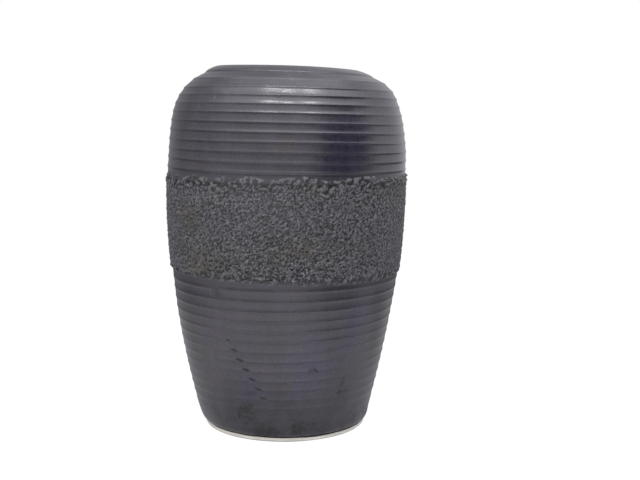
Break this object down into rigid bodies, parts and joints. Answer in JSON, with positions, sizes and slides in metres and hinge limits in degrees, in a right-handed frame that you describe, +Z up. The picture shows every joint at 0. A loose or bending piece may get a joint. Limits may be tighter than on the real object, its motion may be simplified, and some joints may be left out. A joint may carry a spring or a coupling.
{
  "type": "clay vase",
  "caption": "Hand-thrown clay vase with ribbed walls, a broad coarse band round the belly, a low rounded rim and a bare foot ring.",
  "frame": {"origin": "centre of the foot ring's underside, on the surface that the vase stands on", "axes": "+Z up along the axis that the vase was thrown on, from the foot to the mouth; X and Y are any two level directions"},
  "size_m": [0.2026, 0.2026, 0.3],
  "materials": {
    "dark_glaze": "satin",
    "coarse_glaze": "satin",
    "bare_clay": "matte"
  },
  "bodies": {
    "root": {"foot_ring": "bare_clay", "floor_disc": "dark_glaze", "lower_wall": "dark_glaze", "middle_wall": "bare_clay", "textured_band": "coarse_glaze", "upper_wall": "dark_glaze", "shoulder": "dark_glaze", "mouth_rim": "dark_glaze"}
  },
  "joints": []
}
